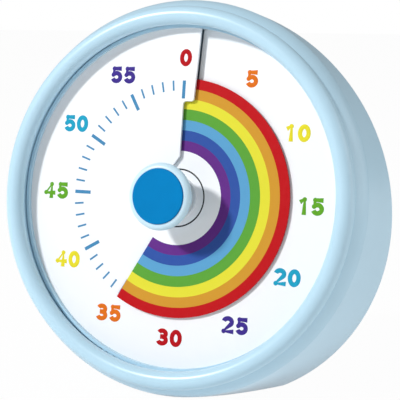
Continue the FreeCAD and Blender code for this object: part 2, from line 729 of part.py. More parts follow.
def gear(teeth, depth, thickness, centre, turn):
    """Spur wheel at a depth behind the dial, turned so that it meshes at rest."""
    wheel = gear_outline(teeth, GEAR_BACKLASH).extrude(V(0, 0, thickness))
    wheel.rotate(V(0, 0, 0), AXIS, turn)
    wheel.translate(V(centre.x, centre.y, -depth - thickness))
    return wheel


def tooth_turn(teeth):
    """Half a tooth, in degrees."""
    return 180 / teeth


def centre_wheel():
    """Large wheel on the main shaft, lightened by four windows."""
    wheel = gear(
        CENTRE_TEETH, CENTRE_WHEEL_DEPTH, GEAR_THICKNESS, V(0, 0, 0), TRAIN_ANGLE)
    for index in range(WINDOW_COUNT):
        place = polar(WINDOW_CIRCLE, 360 * (index + 0.5) / WINDOW_COUNT)
        wheel = wheel.cut(cylinder(WINDOW_RADIUS, -SPACE, SPACE, place))
    return wheel.cut(cylinder(SHAFT_RADIUS, -SPACE, SPACE))


def clutch_washer():
    """Sprung washer that lets the knob slip against the centre wheel while it is set."""
    low = -(CENTRE_WHEEL_DEPTH + GEAR_THICKNESS + CLUTCH_THICKNESS)
    washer = cylinder(CLUTCH_RADIUS, low, low + CLUTCH_THICKNESS)
    return washer.cut(cylinder(SHAFT_RADIUS, -SPACE, SPACE))


def arbor(centre, rear):
    """Steel pin between its pivots in the front plate and the rear cover."""
    return cylinder(ARBOR_RADIUS, -rear, -MOVE_FRONT - MOVE_WALL / 2, centre)


def third_wheel():
    """Pinion in mesh with the centre wheel and the larger wheel behind it, on one arbor."""
    pinion = gear(
        PINION_TEETH, CENTRE_WHEEL_DEPTH - (PINION_THICKNESS - GEAR_THICKNESS) / 2,
        PINION_THICKNESS, THIRD_CENTRE, TRAIN_ANGLE + 180 + tooth_turn(PINION_TEETH))
    wheel = gear(THIRD_TEETH, THIRD_WHEEL_DEPTH, GEAR_THICKNESS, THIRD_CENTRE, FOURTH_ANGLE)
    pin = arbor(THIRD_CENTRE, MOVE_REAR - MOVE_WALL / 2)
    collar = cylinder(MODULE * PINION_TEETH / 3, -THIRD_WHEEL_DEPTH, -CENTRE_WHEEL_DEPTH, THIRD_CENTRE)
    return pinion.fuse(wheel).fuse(collar).fuse(pin).removeSplitter()


def rotor():
    """Fast pinion and the motor's magnet on one arbor."""
    pinion = gear(
        PINION_TEETH, THIRD_WHEEL_DEPTH - (PINION_THICKNESS - GEAR_THICKNESS) / 2,
        PINION_THICKNESS, FOURTH_CENTRE, FOURTH_ANGLE + 180 + tooth_turn(PINION_TEETH))
    magnet = cylinder(ROTOR_RADIUS, -ROTOR_DEPTH - ROTOR_THICKNESS, -ROTOR_DEPTH, FOURTH_CENTRE)
    pin = arbor(FOURTH_CENTRE, MOVE_REAR - MOVE_WALL / 2)
    return pinion.fuse(magnet).fuse(pin).removeSplitter()


def movement_box(front, rear, inset):
    """Rounded plan of the movement between two depths, inset by a wall."""
    return rounded_block(
        (-MOVE_LEFT + inset, MOVE_RIGHT - inset), (-MOVE_BOTTOM + inset, MOVE_TOP - inset),
        (-rear, -front), MOVE_CORNER - inset)


def pivot_holes():
    """Bearing holes for the train's arbors, through both movement walls."""
    radius = ARBOR_RADIUS + PIVOT_CLEARANCE
    holes = [cylinder(radius, -MOVE_REAR, -MOVE_FRONT, centre) for centre in (THIRD_CENTRE, FOURTH_CENTRE)]
    return Part.makeCompound(holes)


def pillars(front, rear):
    """Pillars for the movement's screws between two depths."""
    radius = SCREW_HEAD_RADIUS + PILLAR_MARGIN
    return [cylinder(radius, -rear, -front, centre) for centre in pillar_centres()]


def pillar_holes():
    """Screw holes through the pillars, with recesses for the heads."""
    holes = []
    seat = -MOVE_FRONT - SCREW_SINK - SCREW_HEAD_THICKNESS
    for centre in pillar_centres():
        holes.append(cylinder(SCREW_RADIUS + SCREW_GAP, -MOVE_REAR, -MOVE_FRONT, centre))
        holes.append(cylinder(SCREW_HEAD_RADIUS + SCREW_GAP, seat, -MOVE_FRONT, centre))
    return Part.makeCompound(holes)


def movement_base():
    """Front half of the movement case: plate towards the dial with a raised wall."""
    base = movement_box(MOVE_FRONT, MOVE_PARTING, 0)
    base = base.cut(movement_box(MOVE_FRONT + MOVE_WALL, MOVE_PARTING, MOVE_WALL))
    base = base.fuse(pillars(MOVE_FRONT, MOVE_PARTING))
    base = base.cut(cylinder(SHAFT_RADIUS + BUSH_WALL, -SPACE, SPACE))
    return base.cut(pivot_holes()).cut(pillar_holes()).removeSplitter()


def movement_cover():
    """Rear half of the movement case: journal boss, stator pad and screw pillars."""
    cover = movement_box(MOVE_PARTING, MOVE_REAR, 0)
    cover = cover.cut(movement_box(MOVE_PARTING, MOVE_REAR - MOVE_WALL, MOVE_WALL))
    boss_top = -(CENTRE_WHEEL_DEPTH + GEAR_THICKNESS + CLUTCH_THICKNESS + POST_GAP)
    cover = cover.fuse(cylinder(SHAFT_JOURNAL_RADIUS + BUSH_WALL, -MOVE_REAR, boss_top))
    pad = block(
        (FOURTH_CENTRE.x + ROTOR_RADIUS + STATOR_ARM, COIL_OFFSET - COIL_RADIUS),
        (FOURTH_CENTRE.y - STATOR_ARM / 2, FOURTH_CENTRE.y + STATOR_ARM / 2),
        (-MOVE_REAR, -STATOR_DEPTH - STATOR_THICKNESS))
    cover = cover.fuse(pad).fuse(pillars(MOVE_PARTING, MOVE_REAR))
    journal = SHAFT_JOURNAL_RADIUS + PIVOT_CLEARANCE
    cover = cover.cut(cylinder(journal, -MOVE_REAR + MOVE_WALL / 2 - POST_GAP, 0))
    return cover.cut(pivot_holes()).cut(pillar_holes()).removeSplitter()


def shaft_bush():
    """Flanged bush that carries the shaft in the front plate."""
    outer = SHAFT_RADIUS + BUSH_WALL
    low = -MOVE_FRONT - MOVE_WALL
    bush = cylinder(outer, low, -BUSH_TOP)
    flange = cylinder(outer + BUSH_FLANGE, -MOVE_FRONT, -BUSH_TOP)
    bush = bush.fuse(flange)
    return bush.cut(cylinder(SHAFT_RADIUS + PIVOT_CLEARANCE, -SPACE, SPACE))


def stator():
    """Bent lamination: a ring round the magnet and two arms to the coil's core."""
    low = -STATOR_DEPTH - STATOR_THICKNESS
    ring = cylinder(ROTOR_RADIUS + STATOR_AIR_GAP + STATOR_ARM / 2, low, -STATOR_DEPTH, FOURTH_CENTRE)
    arm = block(
        (FOURTH_CENTRE.x, COIL_OFFSET + COIL_CORE_RADIUS),
        (FOURTH_CENTRE.y - STATOR_ARM / 2, FOURTH_CENTRE.y + STATOR_ARM / 2),
        (low, -STATOR_DEPTH))
    plate = ring.fuse(arm)
    return plate.cut(cylinder(ROTOR_RADIUS + STATOR_AIR_GAP, low, -STATOR_DEPTH, FOURTH_CENTRE))


def motor_coil():
    """Wound bobbin on its core, which starts against the stator's arm."""
    along = V(0, 1, 0)
    foot = V(COIL_OFFSET, FOURTH_CENTRE.y + STATOR_ARM / 2, -COIL_DEPTH)
    coil = Part.makeCylinder(COIL_CORE_RADIUS, COIL_LENGTH, foot, along)
    for start in (COIL_CHEEK, COIL_LENGTH - 2 * COIL_CHEEK):
        coil = coil.fuse(Part.makeCylinder(COIL_RADIUS, COIL_CHEEK, foot + along * start, along))
    winding = COIL_LENGTH - 3 * COIL_CHEEK
    return coil.fuse(Part.makeCylinder(
        COIL_RADIUS - COIL_WINDING_DROP, winding, foot + along * COIL_CHEEK, along)).removeSplitter()


NODES = {
    "front_bezel": front_bezel,
    "back_housing": back_housing,
    "dial_plate": dial_plate,
    "rainbow_disc": time_disc,
    "disc_hub": disc_hub,
    "main_shaft": main_shaft,
    "knob_body": knob_body,
    "knob_cap": knob_cap,
    "shaft_bush": shaft_bush,
    "movement_base": movement_base,
    "movement_cover": movement_cover,
    "centre_wheel": centre_wheel,
    "clutch_washer": clutch_washer,
    "third_wheel": third_wheel,
    "rotor": rotor,
    "stator": stator,
    "motor_coil": motor_coil,
    "battery_door": battery_door,
    "battery_cell": battery_cell,
    "contact_plus": lambda: contact_plate(1),
    "contact_minus": lambda: contact_plate(-1),
    "circuit_board": circuit_board,
    "buzzer": buzzer,
    "switch_body": switch_body,
    "volume_slider": volume_slider,
    "case_screws": case_screws,
    "board_screws": board_screws,
    "movement_screws": movement_screws,
}


def centred(shapes):
    """Lean every piece back, stand it on the table and centre the whole from front to back."""
    stood = {name: moved(shape, DIAL_TO_WORLD) for name, shape in shapes.items()}
    boxes = [shape.optimalBoundingBox(False, False) for shape in stood.values()]
    middle = (min(box.YMin for box in boxes) + max(box.YMax for box in boxes)) / 2
    for shape in stood.values():
        shape.translate(V(0, -middle, 0))
    return stood, middle


def main():
    """Build every piece and write its file."""
    os.makedirs("parts", exist_ok=True)
    shapes = {name: make() for name, make in NODES.items()}
    stood, middle = centred(shapes)
    for name, shape in stood.items():
        shape.exportStep("parts/" + name + ".step")
        print(name, "solids", len(shape.Solids), "volume", round(shape.Volume, 2), "valid", shape.isValid())
    print("shift", -middle)


main()
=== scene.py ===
import json
import logging
import math
from dataclasses import dataclass
from enum import Enum
from typing import Iterable, Sequence

import bmesh
import bpy
from mathutils import Matrix, Vector


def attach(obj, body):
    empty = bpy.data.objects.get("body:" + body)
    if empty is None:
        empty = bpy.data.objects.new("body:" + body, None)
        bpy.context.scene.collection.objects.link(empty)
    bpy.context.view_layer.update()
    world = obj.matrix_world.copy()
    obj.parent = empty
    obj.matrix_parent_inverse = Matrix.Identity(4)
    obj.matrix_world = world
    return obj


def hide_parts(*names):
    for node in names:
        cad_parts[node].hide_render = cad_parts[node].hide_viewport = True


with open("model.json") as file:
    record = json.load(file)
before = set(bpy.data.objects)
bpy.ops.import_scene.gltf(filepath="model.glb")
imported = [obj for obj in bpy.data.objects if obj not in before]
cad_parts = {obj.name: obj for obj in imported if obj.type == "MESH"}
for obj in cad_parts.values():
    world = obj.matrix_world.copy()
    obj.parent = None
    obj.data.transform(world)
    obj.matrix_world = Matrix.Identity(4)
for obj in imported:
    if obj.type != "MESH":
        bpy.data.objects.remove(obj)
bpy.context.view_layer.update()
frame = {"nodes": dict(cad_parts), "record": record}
MM = 0.001
SHARP_ANGLE = 35.0
LOG = logging.getLogger("timer")

Point = tuple[float, float]
Colour = tuple[float, float, float]


# Colours and axes shared by the sub-assemblies

def linear(colour: Colour) -> tuple[float, float, float, float]:
    """Turn a display colour into the shader's linear one.

    Args:
        colour: red, green and blue from 0 to 255.

    Returns:
        The same colour in linear light, with an alpha of one.
    """
    def channel(value: float) -> float:
        """One channel from 0 to 255 in linear light."""
        share = value / 255
        return share / 12.92 if share <= 0.04045 else ((share + 0.055) / 1.055) ** 2.4
    return (channel(colour[0]), channel(colour[1]), channel(colour[2]), 1.0)


def shaded(colour: Colour, factor: float) -> Colour:
    """The colour made darker or lighter by a factor, kept within the display's range."""
    return tuple(min(255.0, channel * factor) for channel in colour)


@dataclass(frozen=True)
class DialAxes:
    """The dial's own axes: x to the right, y up to the zero mark, z out to the reader."""

    centre: Vector
    outward: Vector

    @classmethod
    def from_record(cls, record: dict) -> "DialAxes":
        """Read the dial's centre and direction from the knob's joint.

        Args:
            record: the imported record.

        Returns:
            The axes, in the frame's metres.
        """
        joints = record["behaviour"]["joints"]
        knob = next(joint for joint in joints if joint["name"] == "knob_turn")
        return cls(Vector(knob["pos_m"]), -Vector(knob["axis"]).normalized())

    @property
    def right(self) -> Vector:
        """Direction to the reader's right."""
        return Vector((1.0, 0.0, 0.0))

    @property
    def up(self) -> Vector:
        """Direction along the dial to the zero mark."""
        return self.outward.cross(self.right)

    def matrix(self) -> Matrix:
        """Placement from millimetres on the dial to metres in the frame."""
        turn = Matrix((self.right, self.up, self.outward)).transposed().to_4x4()
        return Matrix.Translation(self.centre) @ turn @ Matrix.Scale(MM, 4)


AXES = DialAxes.from_record(frame["record"])


# Shader arithmetic

class Value:
    """A shader socket that takes part in Python arithmetic."""

    def __init__(self, graph: "Graph", socket: bpy.types.NodeSocket) -> None:
        """Wrap a number socket of a graph."""
        self.graph = graph
        self.socket = socket

    def combine(self, operation: str, first: "Value | float", second: "Value | float") -> "Value":
        """Add one Math node.

        Args:
            operation: the node's operation.
            first: its first input.
            second: its second input.

        Returns:
            The node's result.
        """
        node = self.graph.node("ShaderNodeMath", {"operation": operation}, {0: first, 1: second})
        return Value(self.graph, node.outputs[0])

    def __add__(self, other: "Value | float") -> "Value":
        """Sum."""
        return self.combine("ADD", self, other)

    def __mul__(self, other: "Value | float") -> "Value":
        """Product."""
        return self.combine("MULTIPLY", self, other)

    def __sub__(self, other: "Value | float") -> "Value":
        """Difference."""
        return self.combine("SUBTRACT", self, other)

    def __rsub__(self, other: float) -> "Value":
        """Difference from a number."""
        return self.combine("SUBTRACT", other, self)

    def __truediv__(self, other: "Value | float") -> "Value":
        """Quotient."""
        return self.combine("DIVIDE", self, other)

    def __pow__(self, other: float) -> "Value":
        """Power."""
        return self.combine("POWER", self, other)

    def __lt__(self, other: "Value | float") -> "Value":
        """One where the value is below the other, else nought."""
        return self.combine("LESS_THAN", self, other)


class Graph:
    """Node tree of one finish, with the dial's axes worked out from Object coordinates."""

    def __init__(self, name: str) -> None:
        """Start a material with its principled shader."""
        self.material = bpy.data.materials.new(name)
        self.material.use_nodes = True
        self.tree = self.material.node_tree
        self.shader = self.tree.nodes["Principled BSDF"]
        self.output = self.tree.nodes["Material Output"]
        self.place = self.node("ShaderNodeTexCoord", {}, {}).outputs["Object"]

    def feed(self, socket: bpy.types.NodeSocket, value: object) -> None:
        """Link a socket or a value to an input, or set the input's own value.

        Args:
            socket: the input.
            value: a Value, a socket, or a plain number, vector or colour.
        """
        if isinstance(value, Value):
            self.tree.links.new(value.socket, socket)
        elif isinstance(value, bpy.types.NodeSocket):
            self.tree.links.new(value, socket)
        else:
            socket.default_value = value

    def node(self, kind: str, settings: dict, inputs: dict) -> bpy.types.Node:
        """Add a node.

        Args:
            kind: the node's type.
            settings: its attributes; "stops" holds a ramp's positions and colours.
            inputs: values or links, by the inputs' names or numbers.

        Returns:
            The new node.
        """
        made = self.tree.nodes.new(kind)
        for key, value in settings.items():
            if key == "stops":
                self.set_stops(made.color_ramp, value)
            elif key == "interpolation":
                made.color_ramp.interpolation = value
            else:
                setattr(made, key, value)
        for key, value in inputs.items():
            self.feed(made.inputs[key], value)
        return made

    @staticmethod
    def set_stops(ramp: bpy.types.ColorRamp, stops: Sequence[tuple[float, Colour]]) -> None:
        """Give a ramp its positions and colours.

        Args:
            ramp: the ramp.
            stops: position and display colour of each stop, from left to right.
        """
        while len(ramp.elements) > 1:
            ramp.elements.remove(ramp.elements[-1])
        ramp.elements[0].position = stops[0][0]
        ramp.elements[0].color = linear(stops[0][1])
        for position, colour in stops[1:]:
            ramp.elements.new(position).color = linear(colour)

    def along(self, direction: Vector) -> Value:
        """Distance from the dial's centre along a direction.

        Args:
            direction: unit vector in the frame.

        Returns:
            The distance in millimetres.
        """
        offset = self.node(
            "ShaderNodeVectorMath", {"operation": "SUBTRACT"}, {0: self.place, 1: AXES.centre})
        scaled = self.node(
            "ShaderNodeVectorMath", {"operation": "DOT_PRODUCT"},
            {0: offset.outputs[0], 1: direction / MM})
        return Value(self, scaled.outputs["Value"])

    def radius(self) -> Value:
        """Distance from the dial's axis.

        Returns:
            The distance in millimetres.
        """
        across = self.along(AXES.right)
        up = self.along(AXES.up)
        return (across * across + up * up) ** 0.5

    def noise(self, size: float, detail: float = 2.0, stretch: Vector | None = None) -> Value:
        """Noise whose features are about a size across.

        Args:
            size: feature size in millimetres.
            detail: octaves of finer noise.
            stretch: scale along each axis, for brushed or drawn surfaces.

        Returns:
            A value that averages one half.
        """
        place = self.place
        if stretch is not None:
            place = self.node("ShaderNodeMapping", {}, {"Vector": place, "Scale": stretch}).outputs[0]
        made = self.node(
            "ShaderNodeTexNoise", {},
            {"Vector": place, "Scale": 1 / (size * MM), "Detail": detail, "Roughness": 0.55})
        return Value(self, made.outputs["Fac"])

    def colour_mix(self, share: Value, low: object, high: object) -> bpy.types.NodeSocket:
        """Mix two colours; the node's sockets go by number, as its kinds share their names.

        Args:
            share: how much of the second colour shows.
            low: first colour, as four numbers or a link.
            high: second colour, as four numbers or a link.

        Returns:
            The mixed colour.
        """
        made = self.node("ShaderNodeMix", {"data_type": "RGBA"}, {0: share, 6: low, 7: high})
        return made.outputs[2]

    def shades(self, share: Value, colour: Colour, dark: float, light: float) -> bpy.types.NodeSocket:
        """Mix two shades of one colour.

        Args:
            share: how much of the lighter shade shows.
            colour: the display colour.
            dark: factor of the darker shade.
            light: factor of the lighter shade.

        Returns:
            The mixed colour.
        """
        return self.colour_mix(share, linear(shaded(colour, dark)), linear(shaded(colour, light)))

    def relief(self, height: Value, depth: float) -> None:
        """Bump the surface.

        Args:
            height: height from nought to one.
            depth: what a height of one stands for, in millimetres.
        """
        bump = self.node(
            "ShaderNodeBump", {}, {"Strength": 1.0, "Distance": depth * MM, "Height": height})
        self.feed(self.shader.inputs["Normal"], bump.outputs["Normal"])

    def surface(self, **inputs: object) -> None:
        """Feed the principled shader.

        Args:
            inputs: values or links for base, roughness, metallic or specular.
        """
        names = {
            "base": "Base Color", "roughness": "Roughness", "metallic": "Metallic",
            "specular": "Specular IOR Level"}
        for key, value in inputs.items():
            self.feed(self.shader.inputs[names[key]], value)


# Finishes

@dataclass(frozen=True)
class Finish:
    """A named surface finish."""

    name: str

    def material(self) -> bpy.types.Material:
        """Build the node tree; each kind of finish has its own."""
        raise NotImplementedError


@dataclass(frozen=True)
class Moulded(Finish):
    """Injection-moulded plastic: faint flow shading, small gloss changes and a fine skin."""

    colour: Colour
    roughness: float
    flow: float = 0.02
    flow_size: float = 16.0
    skin_size: float = 0.5
    skin_depth: float = 0.004
    scuff: float = 0.05
    scuff_size: float = 3.0
    specular: float = 0.4

    def material(self) -> bpy.types.Material:
        """Build the node tree.

        Returns:
            The new material.
        """
        graph = Graph(self.name)
        flow = graph.noise(self.flow_size)
        skin = graph.noise(self.skin_size, 3.0)
        scuffs = (graph.noise(self.scuff_size, 4.0) - 0.5) * self.scuff * 2
        graph.surface(
            base=graph.shades(flow, self.colour, 1 - self.flow, 1 + self.flow),
            roughness=scuffs + self.roughness,
            specular=self.specular)
        graph.relief(skin, self.skin_depth)
        return graph.material


@dataclass(frozen=True)
class Ink(Finish):
    """Screen-printed ink: solid colour with a slight pull of the squeegee in it."""

    colour: Colour
    roughness: float = 0.38
    specular: float = 0.05
    pull: float = 0.04
    pull_size: float = 0.8
    gloss_spread: float = 0.12
    gloss_size: float = 0.4
    skin_size: float = 0.15
    skin_depth: float = 0.002

    def material(self) -> bpy.types.Material:
        """Build the node tree.

        Returns:
            The new material.
        """
        graph = Graph(self.name)
        pull = graph.noise(self.pull_size, 3.0, SQUEEGEE)
        gloss = graph.noise(self.gloss_size) * self.gloss_spread
        graph.surface(
            base=graph.shades(pull, self.colour, 1 - self.pull, 1 + self.pull),
            roughness=gloss + (self.roughness - self.gloss_spread / 2),
            specular=self.specular)
        graph.relief(graph.noise(self.skin_size), self.skin_depth)
        return graph.material


@dataclass(frozen=True)
class Bands(Finish):
    """Printed disc: a white middle with a thin dark ring of painted shadow for the gap round the hub, then
    seven bands of colour.
    """

    colours: tuple[Colour, ...]
    inner_radius: float = 10.17
    outer_radius: float = 26.0
    ring_radius: float = 6.16
    ring_width: float = 0.28
    white: Colour = (247, 248, 250)
    # colour of the painted shadow ring that stands for the gap round the hub
    line: Colour = (30, 30, 34)
    margin: float = 1.05
    wear: float = 0.012
    wear_size: float = 1.2
    roughness: float = 0.32
    specular: float = 0.06
    gloss_spread: float = 0.1
    gloss_size: float = 0.9
    skin_size: float = 0.2
    skin_depth: float = 0.002

    def stops(self) -> list[tuple[float, Colour]]:
        """Lay out the colour ramp.

        Returns:
            Positions as shares of the ramp's reach, each with the colour that starts there.
        """
        reach = self.outer_radius * self.margin
        half = self.ring_width / 2
        # painted shadow: the dark ring at ring_radius stands for the shade in the gap round the hub
        stops = [
            (0.0, self.white),
            ((self.ring_radius - half) / reach, self.line),
            ((self.ring_radius + half) / reach, self.white)]
        step = (self.outer_radius - self.inner_radius) / len(self.colours)
        for index, colour in enumerate(self.colours):
            stops.append(((self.inner_radius + step * index) / reach, colour))
        return stops

    def material(self) -> bpy.types.Material:
        """Build the node tree.

        Returns:
            The new material.
        """
        graph = Graph(self.name)
        radius = graph.radius() / (self.outer_radius * self.margin)
        ramp = graph.node(
            "ShaderNodeValToRGB", {"stops": self.stops(), "interpolation": "CONSTANT"}, {"Fac": radius})
        worn = graph.noise(self.wear_size, 4.0) * self.wear
        gloss = graph.noise(self.gloss_size, 3.0) * self.gloss_spread
        graph.surface(
            base=graph.colour_mix(worn, ramp.outputs["Color"], linear(self.white)),
            roughness=gloss + (self.roughness - self.gloss_spread / 2),
            specular=self.specular)
        graph.relief(graph.noise(self.skin_size), self.skin_depth)
        return graph.material


@dataclass(frozen=True)
class Metal(Finish):
    """Rolled, turned or drawn metal with its marks along one direction."""

    colour: Colour
    roughness: float
    stretch: Vector
    mark_size: float = 0.3
    mark_depth: float = 0.003
    mark_dark: float = 0.88
    mark_light: float = 1.08
    gloss_spread: float = 0.25

    def material(self) -> bpy.types.Material:
        """Build the node tree.

        Returns:
            The new material.
        """
        graph = Graph(self.name)
        marks = graph.noise(self.mark_size, 4.0, self.stretch)
        graph.surface(
            base=graph.shades(marks, self.colour, self.mark_dark, self.mark_light),
            metallic=1.0,
            roughness=marks * self.gloss_spread + (self.roughness - 0.12))
        graph.relief(marks, self.mark_depth)
        return graph.material


@dataclass(frozen=True)
class Wound(Finish):
    """Enamelled wire wound round a bobbin along one axis, with painted shade in the grooves between turns.
    """

    colour: Colour
    wire: float = 0.12
    wave_turns: float = 0.314
    unevenness: float = 0.4
    painted_groove_shade: float = 0.55
    roughness: float = 0.42

    def material(self) -> bpy.types.Material:
        """Build the node tree.

        Returns:
            The new material.
        """
        graph = Graph(self.name)
        turns = graph.node(
            "ShaderNodeTexWave", {"bands_direction": "Z", "wave_profile": "SIN"},
            {"Vector": graph.place, "Scale": self.wave_turns / (self.wire * MM),
             "Distortion": self.unevenness})
        groove = Value(graph, turns.outputs["Fac"])
        graph.surface(
            # painted shade: the wire's colour darkens in the grooves between turns
            base=graph.shades(groove, self.colour, self.painted_groove_shade, 1.0),
            metallic=1.0,
            roughness=self.roughness - groove * 0.12)
        graph.relief(groove, self.wire / 3)
        return graph.material


@dataclass(frozen=True)
class Board(Finish):
    """Varnished circuit board: copper tracks seen through the green."""

    colour: Colour
    track: Colour
    pitch: float = 2.2
    track_share: float = 0.08
    track_rise: float = 0.02
    roughness: float = 0.25

    def material(self) -> bpy.types.Material:
        """Build the node tree.

        Returns:
            The new material.
        """
        graph = Graph(self.name)
        cells = graph.node(
            "ShaderNodeTexVoronoi", {"feature": "DISTANCE_TO_EDGE"},
            {"Vector": graph.place, "Scale": 1 / (self.pitch * MM)})
        track = Value(graph, cells.outputs["Distance"]) < self.track_share
        graph.surface(
            base=graph.colour_mix(track, linear(self.colour), linear(self.track)),
            roughness=graph.noise(1.5, 3.0) * 0.15 + self.roughness)
        graph.relief(track, self.track_rise)
        return graph.material


@dataclass(frozen=True)
class CellWrap(Finish):
    """Plain printed sleeve of a small cell: dark, with a copper-coloured end."""

    dark: Colour
    bright: Colour
    change: float = 12.0
    foil: float = 0.8
    roughness: float = 0.28
    skin_size: float = 0.6
    skin_depth: float = 0.004

    def material(self) -> bpy.types.Material:
        """Build the node tree.

        Returns:
            The new material.
        """
        graph = Graph(self.name)
        end = graph.along(AXES.right) < -self.change
        sheen = graph.noise(2.0, 3.0)
        graph.surface(
            base=graph.colour_mix(end, linear(self.dark), linear(self.bright)),
            metallic=end * self.foil,
            roughness=sheen * 0.15 + self.roughness)
        graph.relief(graph.noise(self.skin_size), self.skin_depth)
        return graph.material


LENGTHWISE = Vector((0.08, 1.0, 1.0))
TURNED = Vector((1.0, 0.1, 1.0))
SQUEEGEE = Vector((1.0, 0.4, 0.4))

SHELL = Moulded("shell_blue", (188, 222, 240), 0.3, specular=0.45)
KNOB_SHELL = Moulded("knob_shell_blue", (205, 233, 247), 0.32, flow_size=6.0)
DIAL_WHITE = Moulded("dial_white", (244, 246, 249), 0.5, flow=0.008)
HUB_WHITE = Moulded("hub_white", (238, 241, 244), 0.45, flow_size=5.0)
CAP = Moulded(
    "cap_blue", (2, 126, 190), 0.42, flow=0.04, flow_size=5.0, skin_size=0.3, skin_depth=0.006,
    specular=0.04)
ACETAL = Moulded("acetal", (236, 236, 228), 0.35, flow=0.03, flow_size=4.0)
MOVEMENT_GREY = Moulded("movement_grey", (196, 200, 205), 0.5, flow=0.03)
BLACK = Moulded("black_plastic", (30, 31, 34), 0.45, flow=0.1, flow_size=3.0)
DISC_PRINT = Bands("disc_print", (
    (100, 46, 134), (50, 84, 162), (92, 160, 204), (92, 162, 58),
    (226, 220, 58), (208, 150, 48), (190, 16, 24)))
BRASS = Metal("bush_brass", (205, 170, 100), 0.3, TURNED)
SPRING = Metal("spring_steel", (170, 172, 176), 0.32, LENGTHWISE)
MAGNET = Metal("magnet", (110, 110, 114), 0.5, TURNED)
NICKEL = Metal("nickel", (214, 211, 203), 0.2, LENGTHWISE, mark_depth=0.001)
ZINC = Metal("screw_steel", (188, 190, 196), 0.3, TURNED)
COPPER = Wound("copper", (200, 112, 66))
BOARD = Board("board_green", (18, 96, 62), (44, 132, 84))
CELL = CellWrap("cell_wrap", (38, 41, 48), (196, 134, 84))


# Meshes

def oval(
        centre: Point, half_width: float, half_height: float, start: float, end: float,
        count: int) -> list[Point]:
    """Points along part of an oval.

    Args:
        centre: its centre.
        half_width: half its width.
        half_height: half its height.
        start: angle of the first point, in degrees.
        end: angle of the last point, in degrees.
        count: number of steps between them.

    Returns:
        The points, in order.
    """
    turns = [math.radians(start + (end - start) * step / count) for step in range(count + 1)]
    return [
        (centre[0] + half_width * math.cos(turn), centre[1] + half_height * math.sin(turn))
        for turn in turns]


def arc(centre: Point, radius: float, start: float, end: float, count: int) -> list[Point]:
    """Points along part of a circle, from one angle in degrees to another."""
    return oval(centre, radius, radius, start, end, count)


def spun(profile: Sequence[Point], steps: int) -> bmesh.types.BMesh:
    """Turn a closed profile of radii and heights once round the dial's axis.

    Args:
        profile: radius and height of each corner, in millimetres.
        steps: facets in the full turn.

    Returns:
        The closed mesh.
    """
    mesh = bmesh.new()
    corners = [mesh.verts.new((radius, 0.0, height)) for radius, height in profile]
    sides = [mesh.edges.new(pair) for pair in zip(corners, corners[1:] + corners[:1])]
    for side in [side for side in sides if max(vert.co.x for vert in side.verts) < 1e-6]:
        sides.remove(side)
        mesh.edges.remove(side)
    bmesh.ops.spin(
        mesh, geom=corners + sides, cent=(0, 0, 0), axis=(0, 0, 1), angle=2 * math.pi,
        steps=steps, use_merge=True)
    bmesh.ops.remove_doubles(mesh, verts=mesh.verts, dist=1e-5)
    bmesh.ops.recalc_face_normals(mesh, faces=mesh.faces)
    return mesh


@dataclass(frozen=True)
class Edge:
    """How a piece's sharp edges are eased."""

    width: float
    segments: int = 2
    angle: float = SHARP_ANGLE


def place_piece(
        name: str, mesh: bmesh.types.BMesh, finish: bpy.types.Material, body: str,
        replaces: Iterable[str] = (), edge: Edge | None = None) -> bpy.types.Object:
    """Stand a mesh drawn on the dial's axes in the frame, dress it and let it ride.

    Args:
        name: the piece's name.
        mesh: its mesh in millimetres; it is freed.
        finish: its material.
        body: the body it rides on.
        replaces: CAD nodes that it stands for.
        edge: how its sharp edges are eased, if they are.

    Returns:
        The new object.
    """
    mesh.transform(AXES.matrix())
    data = bpy.data.meshes.new(name)
    mesh.to_mesh(data)
    mesh.free()
    data.shade_smooth()
    data.set_sharp_from_angle(angle=math.radians(SHARP_ANGLE))
    data.materials.append(finish)
    piece = bpy.data.objects.new(name, data)
    bpy.context.scene.collection.objects.link(piece)
    if edge is not None:
        bevel = piece.modifiers.new("eased_edges", "BEVEL")
        bevel.width = edge.width * MM
        bevel.segments = edge.segments
        bevel.limit_method = "ANGLE"
        bevel.angle_limit = math.radians(edge.angle)
        bevel.harden_normals = True
    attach(piece, body)
    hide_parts(*replaces)
    LOG.info("%s: %d faces on %s", name, len(data.polygons), body)
    return piece


def dress(nodes: Iterable[str], finish: bpy.types.Material) -> None:
    """Give CAD nodes a finish.

    Args:
        nodes: their names.
        finish: the material for all of them.
    """
    for name in nodes:
        data = frame["nodes"][name].data
        data.materials.clear()
        data.materials.append(finish)
        LOG.info("%s: %s", name, finish.name)


# Sub-assemblies

